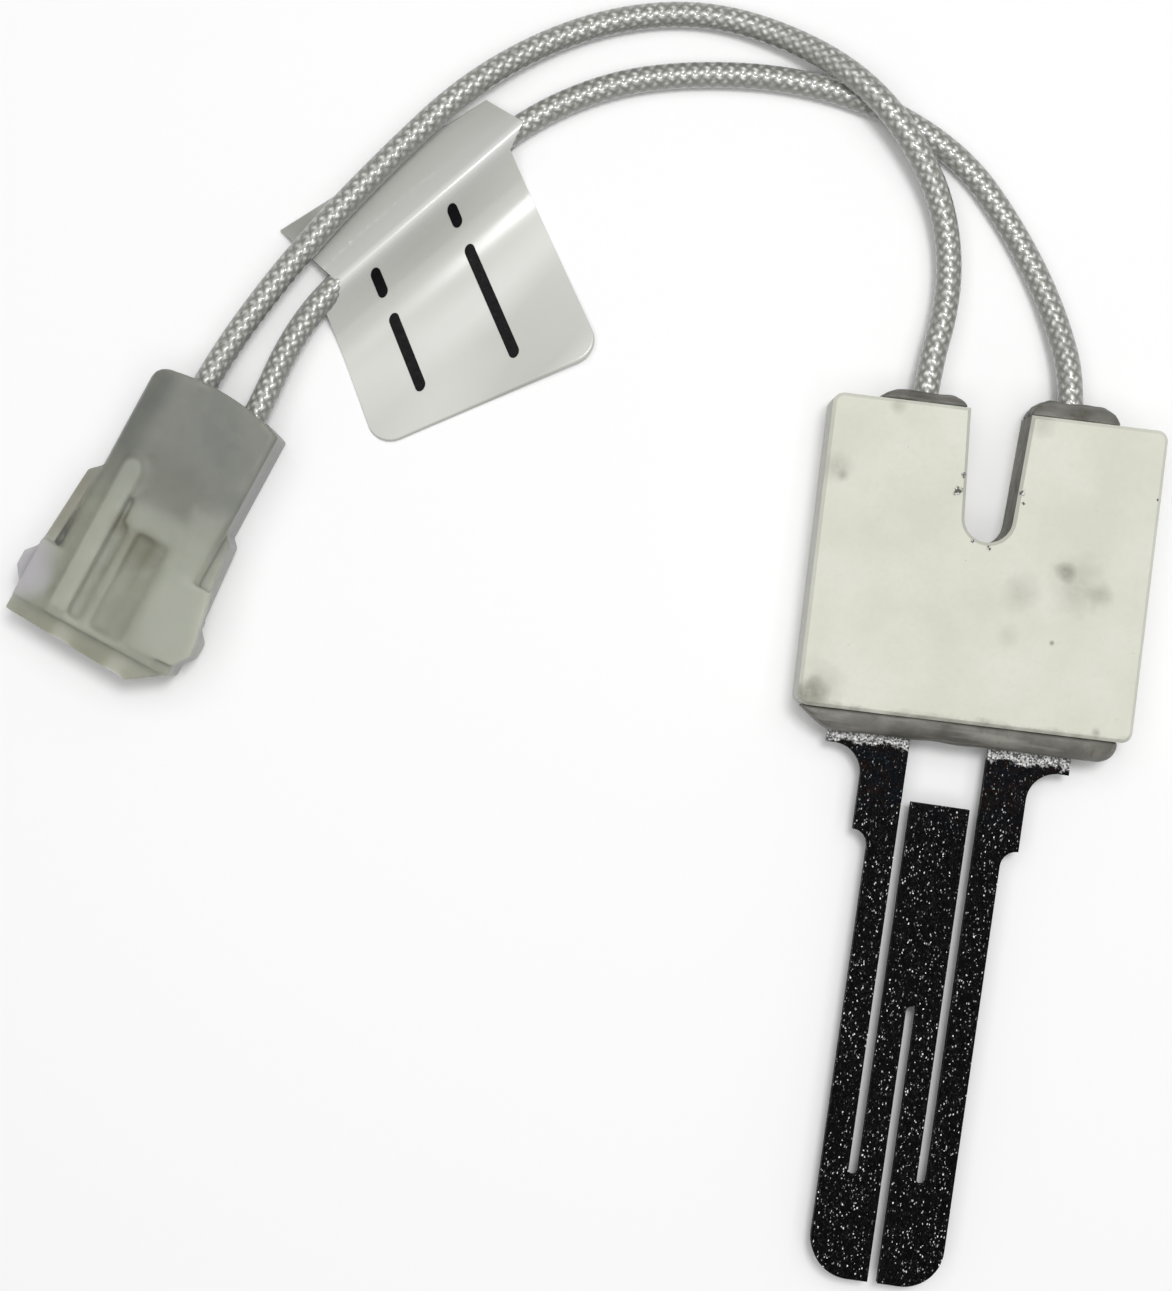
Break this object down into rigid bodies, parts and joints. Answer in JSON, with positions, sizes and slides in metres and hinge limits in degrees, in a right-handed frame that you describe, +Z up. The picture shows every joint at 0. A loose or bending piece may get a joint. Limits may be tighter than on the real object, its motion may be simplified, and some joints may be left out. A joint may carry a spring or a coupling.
{
  "type": "hot surface igniter",
  "caption": "Flat slotted silicon carbide heating element cemented in a notched ceramic holder, with braided leads ending in a moulded plug.",
  "frame": {"origin": "middle of the ceramic holder's flat back face, which lies on the surface the igniter rests on", "axes": "+Z up out of the holder's front face, +Y along the holder towards the leads, so that the heating element points along -Y"},
  "size_m": [0.1161, 0.1305, 0.009],
  "materials": {
    "ivory_ceramic": "unglazed, fine matt",
    "silicon_carbide": "dark crystalline with fine sparkle",
    "grey_cement": "smooth trowelled cement",
    "nickel_sheet": "bright rolled",
    "nickel_strand": "stranded wire",
    "glass_braid": "varnished glass braid with a silvery sheen",
    "natural_nylon": "milky translucent moulding",
    "tinned_metal": "bright tin plate",
    "label_film": "glossy film"
  },
  "bodies": {
    "root": {"ceramic_block": "ivory_ceramic", "heating_element": "silicon_carbide", "element_cement": "grey_cement", "lead_cement_left": "grey_cement", "lead_cement_right": "grey_cement", "contact_clip_left": "nickel_sheet", "contact_clip_right": "nickel_sheet", "block_conductor_left": "nickel_strand", "block_conductor_right": "nickel_strand", "lead_left": "glass_braid", "lead_right": "glass_braid", "connector_housing": "natural_nylon", "terminal_left": "tinned_metal", "terminal_right": "tinned_metal", "plug_conductor_left": "nickel_strand", "plug_conductor_right": "nickel_strand", "lead_label": "label_film"}
  },
  "joints": []
}
